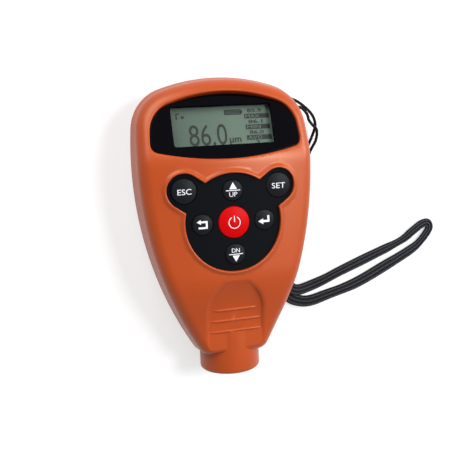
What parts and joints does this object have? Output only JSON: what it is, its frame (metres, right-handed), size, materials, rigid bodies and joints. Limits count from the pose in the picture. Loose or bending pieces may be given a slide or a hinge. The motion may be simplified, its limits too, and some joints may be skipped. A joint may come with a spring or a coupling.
{
  "type": "coating thickness gauge",
  "caption": "Hand-held coating thickness gauge with a tilted display head, a round keypad with two ear keys, a thumb scoop, a sprung nose probe and a wrist strap.",
  "frame": {"origin": "centre of the gauge in plan, on the plane of its flat back, which it rests on", "axes": "+Y from the probe nose to the display end, +Z out of the keypad face, +X to the right of someone who reads the display"},
  "size_m": [0.1244, 0.106, 0.0276],
  "materials": {
    "orange_shell": "fine satin moulding",
    "lens_black": "polished",
    "lcd_green": "polished glass with a polariser",
    "white_plastic": "satin",
    "ribbon_amber": "satin film",
    "mat_black": "matte silicone",
    "key_black": "matte silicone",
    "key_red": "matte silicone",
    "board_green": "solder mask",
    "chip_black": "moulded",
    "contact_gold": "plated",
    "steel": "plain",
    "cell_sleeve": "printed sleeve",
    "probe_black": "turned",
    "wear_plate": "ground",
    "copper": "enamelled wire",
    "tip_chrome": "polished",
    "strap_black": "braided"
  },
  "bodies": {
    "case": {"front_cover": "orange_shell", "rear_cover": "orange_shell", "display_lens": "lens_black", "lcd_glass": "lcd_green", "lcd_backlight": "white_plastic", "lcd_frame": "white_plastic", "lcd_ribbon": "ribbon_amber", "keypad_mat": "mat_black", "main_board": "board_green", "board_chips": "chip_black", "key_contacts": "contact_gold", "board_screws": "steel", "case_screws": "steel", "battery_left": "cell_sleeve", "battery_right": "cell_sleeve", "battery_springs": "steel", "battery_contacts": "steel", "probe_housing": "probe_black", "probe_cap": "probe_black", "probe_spring": "steel", "strap_cord": "strap_black", "strap_joiner": "probe_black", "wrist_strap": "strap_black"},
    "probe": {"probe_plunger": "steel", "probe_coil": "copper", "probe_plate": "wear_plate", "probe_tip": "tip_chrome"},
    "door": {"battery_door": "orange_shell"},
    "left_key": {"left_key": "key_black"},
    "right_key": {"right_key": "key_black"},
    "up_key": {"up_key": "key_black"},
    "down_key": {"down_key": "key_black"},
    "back_key": {"back_key": "key_black"},
    "enter_key": {"enter_key": "key_black"},
    "power_key": {"power_key": "key_red"}
  },
  "joints": [
    {"name": "left_key_press", "type": "slide", "parent": "case", "child": "left_key", "axis": [0, 0, -1], "range_m": [0, 0.0008], "stiffness_N_per_m": 800},
    {"name": "right_key_press", "type": "slide", "parent": "case", "child": "right_key", "axis": [0, 0, -1], "range_m": [0, 0.0008], "stiffness_N_per_m": 800},
    {"name": "up_key_press", "type": "slide", "parent": "case", "child": "up_key", "axis": [0, 0, -1], "range_m": [0, 0.0008], "stiffness_N_per_m": 800},
    {"name": "down_key_press", "type": "slide", "parent": "case", "child": "down_key", "axis": [0, 0, -1], "range_m": [0, 0.0008], "stiffness_N_per_m": 800},
    {"name": "back_key_press", "type": "slide", "parent": "case", "child": "back_key", "axis": [0, 0, -1], "range_m": [0, 0.0008], "stiffness_N_per_m": 800},
    {"name": "enter_key_press", "type": "slide", "parent": "case", "child": "enter_key", "axis": [0, 0, -1], "range_m": [0, 0.0008], "stiffness_N_per_m": 800},
    {"name": "power_key_press", "type": "slide", "parent": "case", "child": "power_key", "axis": [0, 0, -1], "range_m": [0, 0.0008], "stiffness_N_per_m": 800},
    {"name": "probe_press", "type": "slide", "parent": "case", "child": "probe", "axis": [0, 1, 0], "range_m": [0, 0.0015], "stiffness_N_per_m": 700, "deforming": ["probe_spring"]},
    {"name": "door_tilt", "type": "hinge", "parent": "case", "child": "door", "pos_m": [0, 0.03657, 0.00025], "axis": [1, 0, 0], "range_deg": [0, 70]}
  ]
}
